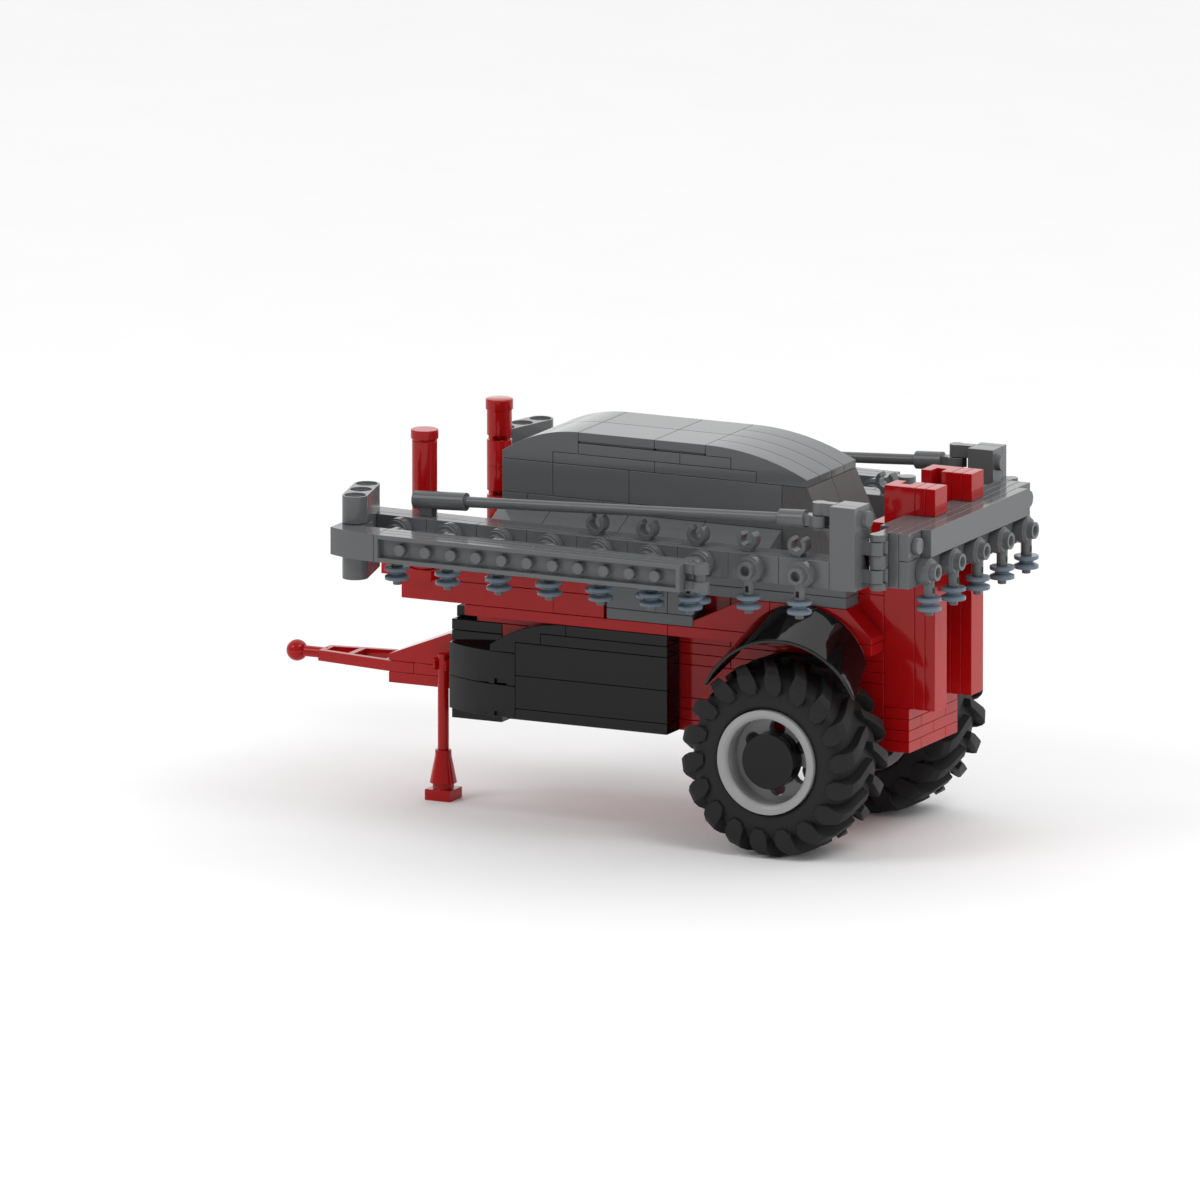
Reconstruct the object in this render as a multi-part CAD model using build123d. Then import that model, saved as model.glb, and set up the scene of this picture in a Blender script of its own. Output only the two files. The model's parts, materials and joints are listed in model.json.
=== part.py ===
"""Brick-built toy grain cart: a two-wheeled trailer with a drawbar and a pair of folding booms.

Frame: +X forward towards the tow ball, +Y left, +Z up, millimetres. The origin lies on the
ground under the middle of the whole object, so everything is built from the rear bumper
forward and moved back by half the length when it is written.
"""

from build123d import *
from math import asin, cos, degrees, radians, sin, sqrt
import os

# Brick grid
stud = 8.0                      # pitch of the bricks along X and Y
plate = 3.2                     # height of one course
seam = 0.05                     # left free on every side of every brick
stud_radius = 2.4
stud_height = 1.7
bar_radius = 1.6                # bars that clips snap on to
pin_radius = 2.4                # axles and joint pins
running_clearance = 0.05        # radial, pin in bore or bar in clip
face_clearance = 0.15           # between flat faces that slide on each other
press_clearance = 0.01          # radial, pin held by its own body

# Wheels
tyre_radius = 28.0
tyre_width = 26.0
track_half = 32.0               # centre plane of a wheel from the centre plane of the cart
lug_height = 2.2
lug_width = 5.0
lug_count = 16
rim_radius = 15.1
dish_radius = 12.6
rim_wall = 1.4
web_offset = 5.0                # outer face of the rim's web from the wheel's centre plane
web_thickness = 3.0
rim_holes = 6
hub_radius = 8.0
hub_discs = 2
wheel_side_gap = 0.6            # wheel to body, and axle end to hub cap
axle_x = 31.2
housing_drop = 4.1              # underside of the axle's brick below the axle
axle_height = tyre_radius       # the underside of the body is level with the axle

# Body, in studs along X and Y and in courses above the underside
body_half = 2
deck_half = 3
body_length = 18
front_length = 2                # bricks in front of the hopper
front_start = body_length - front_length
platform_start, platform_end = 1, front_start + 1
tank_start, tank_end = 9, front_start - 1
hopper_start, hopper_end = 4, front_start
crown_start = front_start - 3   # the lid and the tanks slope down in front of this
hopper_top = 26
column_width = 8.0
column_rear = -8.0
column_front = 8.0
column_top = 24
slope_flat = 4.8                # level top of the slope brick on the drawbar
slope_lip = 1.9                 # height of the upright edge at the foot of a slope
panel_thickness = 2 * plate
panel_start, panel_end = 11.5, body_length + 1.5

# Masts
mast_setback = 7.5              # mast behind the front edge of the panels
mast_x = panel_end * stud - mast_setback
mast_y = 24.0
mast_radius = 3.6
mast_top = 109.6
cap_radius = 3.95
cap_height = 3.2

# Drawbar, hitch and jack
drawbar_length = 3              # plates in front of the body
drawbar_knee = (body_length + drawbar_length) * stud
drawbar_tip = drawbar_knee + 24.4
drawbar_tip_half = 4.0
ball_x = drawbar_tip + 8.6
ball_radius = 3.1
neck_radius = 1.6
lattice_rail = 1.9
lattice_bar_x = drawbar_knee + 14.0
jack_x = body_length * stud + 4.6
jack_y = 12.0
jack_bar_length = 27.8
jack_plate = 8.0
cone_height = 9.6
cone_top_radius = 2.35
cone_bottom_radius = 3.95
collar_height = 1.6
clip_radius = 2.9               # outside of every clip

# Mudguards
guard_x = 29.2
guard_thickness = 1.0
guard_inner_y, guard_outer_y = 25.0, 40.0
guard_outer_radius, guard_outer_height, guard_outer_angle = 26.3, 36.3, 25.5
guard_inner_radius, guard_inner_height, guard_inner_angle = 21.2, 48.8, 16.0

# Booms
boom_bottom = 80.8
boom_height = 8.0
beam_half = 40.0                # fixed centre boom, to its end
beam_rear = -11.2
fascia_half = 32.0
hinge_x = -3.2
hinge_y = beam_half + plate
knuckle_radius = 2.35
fold_angle = 1.52               # the stowed inner boom leans in by this much
boom_face = 6.9                 # outer face of the inner boom from the hinge line
boom_depth = 3 * plate
module_length = 16.0
module_count = 9
post_start = 4.0                # from the hinge, along the boom
post_length = 8.0
post_height = 24.0
clip_modules = 5
clip_lift = 3.2                 # bar axis of a clip above the boom
clip_offset = 3.4               # clip in front of the middle of its module
arm_pitch = 16.0                # between the two pins of the link arm
arm_radius = 3.7
arm_angle = 14.5                # the stowed link arm leans back by this much
arm_pin_inset = 1.9             # inner pin behind the outer face of the inner boom
outer_face = 12.6               # outer face of the outer boom from its pin
outer_studs = 12
end_block_length = 16.0
outer_nozzle_start = 13.5
outer_nozzle_count = 6
last_nozzle_step = 12.0
nozzle_pitch = 16.0

# Nozzles, from the centre of their mounting face
washer_radius = 3.9
washer_thickness = 3.0
flange_radius = 3.4
flange_thickness = 0.7
nozzle_hub_radius = 2.45
nozzle_length = 5.4
nozzle_arm_radius = 1.6
nozzle_arm_out = 2.5
pulley_radius = 3.55
pulley_height = 3.7
pulley_drop = 7.3               # top of the pulley below the hub
pulley_bore = 1.3
stub_length = 1.5

# Rod over the inner boom
rod_radius = 1.55
rod_sleeve_radius = 2.6
rod_front_height = 4.2          # rod axis above the boom, at its front end
rod_rise = 6.4
rod_front_inset = 10.0          # front end of the rod behind the end of the beam's plates
rod_start = 21.6
rod_end = post_start + post_length + module_length * module_count - rod_front_inset
rod_inset = 4.8                 # rod axis behind the outer face

front_end = ball_x + ball_radius
rear_end = beam_rear - max(nozzle_length, nozzle_arm_out + pulley_radius)
centre_shift = -(front_end + rear_end) / 2
boom_top = boom_bottom + boom_height
boom_middle = boom_bottom + boom_height / 2


def level(courses):
    """Height of a course boundary."""
    return axle_height + courses * plate


def slab(x0, x1, y0, y1, z0, z1):
    """Brick between two corners, with the seam left free all round."""
    size = (x1 - x0 - 2 * seam, y1 - y0 - 2 * seam, z1 - z0 - 2 * seam)
    return Pos((x0 + x1) / 2, (y0 + y1) / 2, (z0 + z1) / 2) * Box(*size)


def between(joints):
    """The joints of a course that lie between its two ends, and the ends."""
    first, *inner, last = joints
    return [first, *[joint for joint in inner if first < joint < last], last]


def lay(x_joints, y_joints, low, high):
    """Bricks of one course, one between each pair of joints, in studs and courses."""
    x_joints = between(x_joints)
    return [
        slab(x0 * stud, x1 * stud, y0 * stud, y1 * stud, level(low), level(high))
        for x0, x1 in zip(x_joints, x_joints[1:])
        for y0, y1 in zip(y_joints, y_joints[1:])
    ]


def both_sides(solids):
    """The solids of the left side and their mirror images."""
    return solids + [mirror(solid, Plane.XZ) for solid in solids]


def upright_prism(edges, y0, y1):
    """Solid whose outline lies in the XZ plane, given as edges at Y = 0."""
    face = Face(Wire(edges))
    prism = extrude(face, amount=y1 - y0 - 2 * seam, dir=(0, 1, 0))
    return Pos(0, y0 + seam, 0) * prism


def outline(points):
    """Closed outline in the XZ plane, as edges at Y = 0."""
    corners = [(x, 0, z) for x, z in points]
    return [Line(a, b) for a, b in zip(corners, corners[1:] + corners[:1])]


def crown_arc(x_top, z_top, x_end, z_end):
    """Arc in the XZ plane that leaves the first point level and ends at the second."""
    run, drop = x_end - x_top, z_top - z_end
    radius = (run**2 + drop**2) / (2 * drop)
    half = asin(abs(run) / radius) / 2
    side = 1 if run > 0 else -1
    middle = (x_top + radius * sin(half) * side, 0, z_top - radius * (1 - cos(half)))
    return ThreePointArc((x_top, 0, z_top), middle, (x_end, 0, z_end))


def crowned(x_top, x_end, z_top, z_end, steps, y0, y1):
    """Curved slope brick. steps is the rest of its outline, from the far end round to the top."""
    points = [(x, 0, z) for x, z in steps]
    chain = [(x_end, 0, z_end)] + points + [(x_top, 0, z_top)]
    edges = [crown_arc(x_top, z_top, x_end, z_end)] + [Line(a, b) for a, b in zip(chain, chain[1:])]
    return upright_prism(edges, y0, y1)


def rod_between(start, end, radius):
    """Round bar between two points."""
    axis = Vector(*end) - Vector(*start)
    plane = Plane(origin=start, z_dir=axis)
    return plane * Cylinder(radius, axis.length, align=(Align.CENTER, Align.CENTER, Align.MIN))


def tube(radius, bore, low, high):
    """Upright ring between two heights."""
    align = (Align.CENTER, Align.CENTER, Align.MIN)
    ring = Cylinder(radius, high - low, align=align) - Cylinder(bore, high - low, align=align)
    return Pos(0, 0, low) * ring


def upright(radius, low, high):
    """Upright round bar between two heights."""
    return Pos(0, 0, low) * Cylinder(radius, high - low, align=(Align.CENTER, Align.CENTER, Align.MIN))


def snap_clip(height, opening=70.0):
    """Ring that snaps on to a bar along Z. It is centred on the bar and open towards -X."""
    ring = tube(clip_radius, bar_radius + running_clearance, -height / 2, height / 2)
    reach = 2 * clip_radius
    half = radians(opening / 2)
    x, y = -reach * cos(half), reach * sin(half)
    mouth = Polyline((0, 0), (x, y), (x, -y), close=True)
    return ring - Pos(0, 0, -height / 2) * extrude(make_face(mouth), amount=height)


# Lower body

def lower_body():
    """Rear bumper and the red side walls behind the wheels."""
    bumper = []
    for course, y_joints in enumerate([(-2, -1, 1, 2), (-2, 0, 2), (-2, -1, 1, 2), (-2, 0, 2)]):
        bumper += lay((0, 1), y_joints, course, course + 1)
    housing_rear = (axle_x - stud / 2) / stud
    housing_front = (axle_x + stud / 2) / stud
    walls = lay((platform_start, housing_rear), (1, body_half), 0, 1)
    walls += lay((housing_front, tank_start), (1, body_half), 0, 1)
    courses = [
        (1, 2, (1, 5, 9)),
        (2, 3, (1, 3, 7, 9)),
        (3, 6, (1, 5, 9)),
        (6, 7, (1, 3, 7, 9)),
        (7, 8, (1, 5, 9)),
        (8, 9, (1, 3, 7, 9)),
    ]
    for low, high, joints in courses:
        walls += lay(joints, (1, body_half), low, high)
    return bumper + both_sides(walls)


def chassis_core():
    """Hidden inner bricks and the bored brick that carries the axle."""
    core = lay((1, 5, 9), (-1, 1), 1, 9)
    core += lay((tank_start, crown_start, front_start), (-body_half, 0, body_half), 0, 6)
    core += lay((front_start, body_length), (-body_half, body_half), 0, 6)
    core += lay((tank_start, crown_start, front_start), (-body_half, 0, body_half), 6, 8)
    core += lay((tank_start, crown_start, front_start), (-1, 1), 8, 9)
    half = stud / 2
    side = body_half * stud
    housing = slab(axle_x - half, axle_x + half, -side, side, axle_height - housing_drop, level(1))
    bore = Cylinder(pin_radius + press_clearance, 2 * body_half * stud, rotation=(90, 0, 0))
    return core + [housing - Pos(axle_x, 0, axle_height) * bore]


def wheel_axle():
    """Axle through both wheels, fixed in the body."""
    length = 2 * (track_half + web_offset - wheel_side_gap)
    return [Pos(axle_x, 0, axle_height) * Cylinder(pin_radius, length, rotation=(90, 0, 0))]


def platform_plates():
    """Red plates that carry the deck, two courses deep in front."""
    plates = lay((platform_start, 9, platform_end), (-deck_half, 0, deck_half), 9, 10)
    return plates + both_sides(lay((tank_start, platform_end), (1, body_half), 8, 9))


def side_panels():
    """Red panels along the front half of the deck, and the cross beam that joins them."""
    joints = [step * stud for step in (panel_start, 13.5, panel_end)]
    edge = deck_half * stud
    panels = [
        slab(x0, x1, edge - panel_thickness, edge, level(10), level(12))
        for x0, x1 in zip(joints, joints[1:])
    ]
    seat_rear = mast_x - stud / 2
    panels += [slab(panel_start * stud, seat_rear, edge - panel_thickness, edge, level(12), level(13))]
    front = panel_end * stud
    beam = [slab(front, front + 2 * plate, y0, y0 + edge, level(12), level(14)) for y0 in (-edge, 0)]
    seat = [slab(seat_rear, front, edge - stud, edge + stud / 2, level(12), level(13))]
    return both_sides(panels + seat) + beam


def deck_bricks():
    """Dark deck plates, the low wall on them and the long plates over the wheel arches."""
    bricks = lay((8, 11.4), (-deck_half, 0, deck_half), 10, 11)
    wall = lay((8, 9, 11.4), (body_half, deck_half), 11, 13)
    wall += lay((2, 6, 11.4), (body_half, deck_half), 13, 14)
    wall += lay((2, 4, 8, 11.4), (body_half, deck_half), 14, 15)
    return bricks + both_sides(wall)


def arch_bricks():
    """Red bricks over each wheel: a steep slope behind, a long slope in front."""
    low, high, lip = level(10) + seam, level(13) - seam, level(10) + slope_lip
    inner, outer = body_half * stud, deck_half * stud
    rear, front = stud + seam, 3 * stud - seam
    steep = [(rear, low), (front, low), (front, high), (2 * stud, high), (rear, lip)]
    rear, front = 5 * stud + seam, 8 * stud - seam
    gentle = [(rear, low), (front, low), (front, lip), (6 * stud, high), (rear, high)]
    bricks = [upright_prism(outline(points), inner, outer) for points in (steep, gentle)]
    return both_sides(bricks + lay((3, 5), (body_half, deck_half), 10, 13))


# Tower, columns and hopper

def tower_core():
    """Inner bricks that carry the hopper."""
    core = lay((2, 7, 11.5), (-body_half, 0, body_half), 11, 16)
    core += lay((2, 8), (-body_half, 0, body_half), 10, 11)
    core += lay((11.5, platform_end), (-body_half, 0, body_half), 10, 12)
    core += lay((11.5, hopper_end), (-body_half, 0, body_half), 12, 16)
    core += lay((platform_end, panel_end), (-body_half, 0, body_half), 10, 13)
    core += lay((hopper_start + 1, 11, hopper_end), (-1, 1), 16, 19)
    return core + lay((2, hopper_start + 1), (-1, 1), 16, 17)


def columns():
    """Two red columns at the rear, in three layers, and the walls beside them."""
    layers = (column_front, -plate / 2, -plate * 1.5, column_rear)
    inner, outer = column_width, 2 * column_width
    front_layer = slab(layers[1], layers[0], inner, outer, level(4), level(column_top))
    notch = slab(
        layers[1] + plate, layers[1] + 2 * plate, inner - stud / 2, inner + stud / 2,
        level(column_top - 2), level(column_top + 1),
    )
    solids = [front_layer - notch]
    for front, rear in zip(layers[1:], layers[2:]):
        solids.append(slab(rear, front, inner, outer, level(4), boom_bottom))
        solids.append(slab(rear, front, inner, outer, boom_bottom + 2 * boom_height, level(column_top)))
    walls = lay((1, 2), (1, body_half), 10, 14) + lay((1, 2), (1, body_half), 14, 17)
    infill = lay((1, 2), (-1, 1), 10, 20) + lay((0, 1), (-1, 1), 4, 10)
    return both_sides(solids + walls) + infill


def hopper_skirts():
    """Slope bricks along both sides under the hopper."""
    low, high, lip = level(16) + seam, level(19) - seam, level(16) + slope_lip
    inner, outer = stud + seam, 4 * stud - seam
    section = [(inner, low), (outer, low), (outer, lip), (2 * stud, high), (inner, high)]
    joints = between((hopper_start + 1, 8, 11, 14, hopper_end))
    solids = []
    for x0, x1 in zip(joints, joints[1:]):
        face = make_face(Plane.YZ * Polyline(*section, close=True))
        solids.append(Pos(x0 * stud + seam, 0, 0) * extrude(face, amount=(x1 - x0) * stud - 2 * seam))
    return both_sides(solids)


def hopper_walls():
    """Dark hopper bricks: a plate course and a brick course."""
    rows = (-body_half, 0, body_half)
    start = hopper_start + 1
    courses = lay((start, 8, 12, 15, hopper_end), rows, 19, 20)
    return courses + lay((start, 11, 14, hopper_end), rows, 20, hopper_top - 3)


def hopper_steps():
    """Two plate courses that step in under the lid."""
    rows = (-body_half, 0, body_half)
    low = lay((hopper_start + 2, 10, crown_start + 1), rows, hopper_top - 3, hopper_top - 2)
    return low + lay((hopper_start + 3, 9, crown_start), rows, hopper_top - 2, hopper_top - 1)


def hopper_tiles():
    """Flat tiles of the lid, each with the groove of a tile round its foot."""
    groove_height, groove_depth = 0.5, 0.35
    solids = []
    joints = (hopper_start + 4, 10, crown_start)
    for tile in lay(joints, (-body_half, 0, body_half), hopper_top - 1, hopper_top):
        box = tile.bounding_box()
        middle, size = box.center(), box.size
        inner = (size.X - 2 * groove_depth, size.Y - 2 * groove_depth)
        foot = Box(size.X, size.Y, groove_height) - Box(*inner, groove_height)
        solids.append(tile - Pos(middle.X, middle.Y, box.min.Z + groove_height / 2) * foot)
    return solids


def hopper_curves():
    """Curved slopes of the lid: two wide ones in front, four narrow ones behind."""
    top, end = level(hopper_top) - seam, level(hopper_top - 3) + 2.2
    foot, first, second = (level(hopper_top - course) + seam for course in (3, 2, 1))
    front_x, rear_x = hopper_end * stud - seam, hopper_start * stud + seam
    crown_x, tile_x = crown_start * stud + seam, (hopper_start + 4) * stud - seam
    front_steps = [
        (front_x, foot), (crown_x + stud, foot), (crown_x + stud, first), (crown_x, first),
    ]
    rear_steps = [
        (rear_x, foot), (tile_x - 2 * stud, foot), (tile_x - 2 * stud, first),
        (tile_x - stud, first), (tile_x - stud, second), (tile_x, second),
    ]
    front = [
        crowned(crown_x, front_x, top, end, front_steps, y0 * stud, (y0 + 2) * stud)
        for y0 in (-2, 0)
    ]
    rear = [
        crowned(tile_x, rear_x, top, end, rear_steps, y0 * stud, (y0 + 1) * stud)
        for y0 in (-2, -1, 0, 1)
    ]
    return front + rear


def hopper_rear_slopes():
    """Steep rough slope bricks that close the hopper behind."""
    low, high = level(17) + seam, level(hopper_top - 3) - seam
    rear, front = (hopper_start - 1) * stud + seam, (hopper_start + 1) * stud - seam
    top_rear = hopper_start * stud
    points = [(rear, low), (front, low), (front, high), (top_rear, high), (rear, low + slope_lip)]
    return [upright_prism(outline(points), y0 * stud, (y0 + 2) * stud) for y0 in (-2, 0)]


# Tanks and front

def tank_bricks():
    """Black side tanks: plates, bricks and a curved slope at the front."""
    rows = (body_half, deck_half)
    bricks = lay((tank_start, tank_end), rows, 0, 1) + lay((tank_start, tank_end), rows, 1, 4)
    bricks += lay((tank_start, tank_end), rows, 4, 7) + lay((tank_start, crown_start + 1), rows, 7, 8)
    bricks += lay((tank_start, crown_start), rows, 8, 9)
    rear_x, front_x = crown_start * stud + seam, front_start * stud - seam
    steps = [(front_x, level(6) + seam), (rear_x + 2 * stud, level(6) + seam)]
    steps += [(rear_x + 2 * stud, level(7) + seam), (rear_x + stud, level(7) + seam)]
    steps += [(rear_x + stud, level(8) + seam), (rear_x, level(8) + seam)]
    top, end = level(9) - seam, level(6) + slope_lip
    curve = crowned(rear_x, front_x, top, end, steps, rows[0] * stud, rows[1] * stud)
    return both_sides(bricks + [curve])


def tank_corners():
    """Rounded corner bricks in front of the tanks, with two small notches at their foot."""
    rear, front = tank_end * stud + seam, body_length * stud - seam
    inner, outer, tip = body_half * stud + seam, deck_half * stud - seam, body_half * stud + 1.6
    nose = ThreePointArc((rear, outer), ((rear + front) / 2 + 1, outer - 1.7), (front, tip))
    corners = [(front, tip), (front, inner), (rear, inner), (rear, outer)]
    sides = [Line(a, b) for a, b in zip(corners, corners[1:])]
    face = Face(Wire([nose] + sides))
    notch_size = (4.0, 3.0, 1.7)
    solids = []
    for course in (0, 3):
        brick = Pos(0, 0, level(course) + seam) * extrude(face, amount=3 * plate - 2 * seam, dir=(0, 0, 1))
        for step in (4.7, 10.7):
            brick -= Pos(rear + step, outer, level(course) + seam + notch_size[2] / 2) * Box(*notch_size)
        solids.append(brick)
    return both_sides(solids)


def front_plates():
    """Black plates under and over the front of the body."""
    rows = (-body_half, 0, body_half)
    plates = lay((front_start, body_length), rows, -1, 0) + lay((front_start, body_length), rows, 6, 7)
    plates += lay((front_start, body_length), rows, 7, 8)
    return plates + lay((platform_end, body_length), (-1.6, 1.6), 8, 9)


# Drawbar, hitch and jack

def drawbar_bricks():
    """Red plates of the drawbar and the slope brick on top."""
    end = body_length + drawbar_length
    plates = lay((body_length, end), (-1, 1), 1, 2) + lay((body_length, end - 1), (-1, 1), 2, 3)
    low, high, lip = level(3) + seam, level(6) - seam, level(3) + slope_lip
    start, end = body_length * stud + seam, drawbar_knee - seam
    points = [(start, low), (end, low), (end, lip), (body_length * stud + slope_flat, high), (start, high)]
    return plates + [upright_prism(outline(points), -stud, stud)]


def drawbar_frame():
    """A-shaped frame with the tow ball, in one piece."""
    rear, knee = drawbar_knee - stud + seam, drawbar_knee
    low, high = level(2) + seam, level(3) - seam
    corners = [
        (rear, stud - seam), (knee, stud - seam), (drawbar_tip, drawbar_tip_half),
        (drawbar_tip, -drawbar_tip_half), (knee, -stud + seam), (rear, -stud + seam),
    ]
    frame = extrude(make_face(Polyline(*corners, close=True)), amount=high - low)
    taper = (stud - drawbar_tip_half) / (drawbar_tip - knee)

    def half_gap(x):
        return stud - (x - knee) * taper - lattice_rail

    half_rail = lattice_rail / 2
    gaps = (
        (knee + lattice_rail, lattice_bar_x - half_rail),
        (lattice_bar_x + half_rail, drawbar_tip - lattice_rail),
    )
    for x0, x1 in gaps:
        y0, y1 = half_gap(x0), half_gap(x1)
        gap = Polyline((x0, y0), (x1, y1), (x1, -y1), (x0, -y0), close=True)
        frame -= extrude(make_face(gap), amount=high - low)
    middle = (low + high) / 2
    neck = rod_between((drawbar_tip - 1, 0, middle), (ball_x, 0, middle), neck_radius)
    return [Pos(0, 0, low) * frame + neck + Pos(ball_x, 0, middle) * Sphere(ball_radius)]


def jack_clip():
    """Clip on the side of the drawbar that holds the jack's bar."""
    height = plate - 2 * seam
    middle = (level(3) + level(4)) / 2
    clip = Pos(jack_x, jack_y, middle) * Rot(0, 0, -90) * snap_clip(height)
    reach = jack_y - bar_radius
    web = Pos(jack_x, (stud + reach) / 2, middle) * Box(stud / 2, reach - stud, height)
    hole = Pos(jack_x, jack_y, middle) * Cylinder(bar_radius + running_clearance, height)
    return [clip + (web - hole)]


def jack_leg():
    """Jack: bar, cone and foot, standing on the ground."""
    foot_top = plate
    foot = Pos(jack_x, jack_y, foot_top / 2) * Box(jack_plate, jack_plate, foot_top)
    neck_top = foot_top + collar_height
    align = (Align.CENTER, Align.CENTER, Align.MIN)
    cone = Cone(cone_bottom_radius, cone_top_radius, cone_height - collar_height, align=align)
    cone = Pos(0, 0, neck_top) * cone
    cone += upright(cone_bottom_radius - 0.85, foot_top, neck_top)
    cone += upright(cone_top_radius, foot_top + cone_height, foot_top + cone_height + collar_height)
    return [foot + Pos(jack_x, jack_y, 0) * cone]


def jack_bar():
    """Plain bar of the jack, from the top of the cone up through the clip."""
    bottom = plate + cone_height + collar_height
    return [Pos(jack_x, jack_y, 0) * upright(bar_radius, bottom, bottom + jack_bar_length)]


def mast():
    """Round mast with its cap."""
    tube_part = upright(mast_radius, level(13), mast_top - cap_height)
    cap = upright(cap_radius, mast_top - cap_height, mast_top)
    cap = chamfer(cap.edges().filter_by(GeomType.CIRCLE).group_by(Axis.Z)[0], 0.6)
    return [Pos(mast_x, mast_y, 0) * (tube_part + cap)]


# Mudguards and wheels

def mudguard():
    """Arched shell over a wheel, narrower on the body side, with the tab that fixes it."""

    def rim(y, radius, height, angle):
        outer, inner = radius, radius - guard_thickness
        start, end = radians(angle), radians(180 - angle)
        at = lambda r, a: (guard_x + r * cos(a), y, height + r * sin(a))
        arcs = [
            ThreePointArc(at(outer, start), at(outer, radians(90)), at(outer, end)),
            Line(at(outer, end), at(inner, end)),
            ThreePointArc(at(inner, end), at(inner, radians(90)), at(inner, start)),
            Line(at(inner, start), at(outer, start)),
        ]
        return Wire(arcs)

    lip = rim(guard_outer_y, guard_outer_radius, guard_outer_height, guard_outer_angle)
    ridge = rim(guard_inner_y, guard_inner_radius, guard_inner_height, guard_inner_angle)
    shell = Solid.make_loft([ridge, lip], ruled=True)
    tab_top = guard_inner_height + guard_inner_radius - guard_thickness / 2
    tab = Pos(guard_x, (deck_half * stud + guard_inner_y + 1) / 2, tab_top - 0.75)
    return shell + tab * Box(stud, guard_inner_y + 1 - deck_half * stud - 2 * seam, 1.5)


def wheel_profile(points):
    """Ring of revolution about the wheel's axle, from (radius, offset) points."""
    return revolve(make_face(Polyline(*points, close=True)), axis=Axis.Y)


def tyre():
    """Tractor tyre with two rows of slanted lugs, on its own axle line."""
    half = tyre_width / 2
    carcass = tyre_radius - lug_height
    shoulder = 4.0
    body = wheel_profile([
        (rim_radius, -half), (carcass - shoulder, -half), (carcass, -half + shoulder),
        (carcass, half - shoulder), (carcass - shoulder, half), (rim_radius, half),
    ])
    envelope = wheel_profile([
        (carcass - 1, -half), (tyre_radius - 2, -half), (tyre_radius, -half + 2),
        (tyre_radius, half - 2), (tyre_radius - 2, half), (carcass - 1, half),
    ])
    pitch = 360 / lug_count
    lug_depth = lug_height + 3.5
    lugs = []
    for side in (1, -1):
        block = Box(half + 1, lug_width, lug_depth)
        block = Pos(0, 0, -tyre_radius + lug_depth / 2) * Rot(0, 0, 90) * Rot(0, 0, -25 * side) * block
        block = Pos(0, side * half / 2, 0) * block
        offset = 0 if side > 0 else pitch / 2
        lugs += [Rot(0, index * pitch + offset, 0) * block for index in range(lug_count)]
    treads = Part() + lugs
    return body + (treads & envelope)


def rim():
    """Deep-dished rim with pin holes round a bored web."""
    half = tyre_width / 2
    inner = web_offset - web_thickness
    boss_end = body_half * stud + wheel_side_gap - track_half
    ring = wheel_profile([
        (dish_radius, -half + 1), (rim_radius - seam, -half + 1), (rim_radius - seam, half),
        (dish_radius + rim_wall / 2, half), (dish_radius, half - 2), (dish_radius, web_offset),
        (pin_radius + running_clearance, web_offset), (pin_radius + running_clearance, boss_end),
        (pin_radius + 2.2, boss_end), (pin_radius + 2.2, inner), (dish_radius, inner),
    ])
    hole = Cylinder(stud_radius, 4 * web_thickness, rotation=(90, 0, 0))
    for index in range(rim_holes):
        ring -= Rot(0, index * 360 / rim_holes, 0) * Pos(0, web_offset, hub_radius + 0.6) * hole
    return ring


def hub_cap():
    """Stack of round plates that closes the hub."""
    discs = []
    step = plate
    for index in range(hub_discs):
        low = web_offset + index * step
        disc = wheel_profile([
            (0, low + seam), (hub_radius - 0.5, low + seam), (hub_radius, low + 0.5),
            (hub_radius, low + step - seam), (0, low + step - seam),
        ])
        discs.append(disc)
    return discs


def wheel_parts():
    """Tyre, rim and hub cap of the left wheel, in place."""
    place = Pos(axle_x, track_half, axle_height)
    discs = [place * disc for disc in hub_cap()]
    return {"tyre": [place * tyre()], "rim": [place * rim()], "hub_cap": discs}


# Nozzles

def nozzle_shapes():
    """One nozzle body and its pulley. The mounting face is at X = 0 and it points to +X."""
    turn = Rot(0, 90, 0)
    body = turn * upright(washer_radius, seam, washer_thickness)
    body += turn * upright(flange_radius, washer_thickness, washer_thickness + flange_thickness)
    body += turn * upright(nozzle_hub_radius, washer_thickness, nozzle_length)
    body += Pos(nozzle_arm_out, 0, 0) * upright(nozzle_arm_radius, -pulley_drop + seam, 0)
    body += Pos(nozzle_arm_out, 0, 0) * upright(
        pulley_bore - running_clearance, -pulley_drop - pulley_height - stub_length, -pulley_drop + 1
    )
    eye = 1.5
    body -= turn * upright(eye, nozzle_length - 2, nozzle_length)
    slot = Box(4 * nozzle_arm_radius, 1.1, 1.8)
    body -= Pos(nozzle_arm_out, 0, -pulley_drop + 1.9) * slot
    groove = pulley_radius - 1.5
    flange = 1.0
    section = [
        (pulley_bore, 0), (pulley_radius, 0), (pulley_radius, -flange),
        (groove, -pulley_height / 2 + 0.2), (groove, -pulley_height / 2 - 0.2),
        (pulley_radius, -pulley_height + flange), (pulley_radius, -pulley_height),
        (pulley_bore, -pulley_height),
    ]
    pulley = revolve(make_face(Plane.XZ * Polyline(*section, close=True)), axis=Axis.Z)
    return body, Pos(nozzle_arm_out, 0, -pulley_drop) * pulley


def place_nozzles(places):
    """Nozzle bodies and pulleys at a list of locations."""
    body, pulley = nozzle_shapes()
    return [place * body for place in places], [place * pulley for place in places]


# Centre boom

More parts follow.
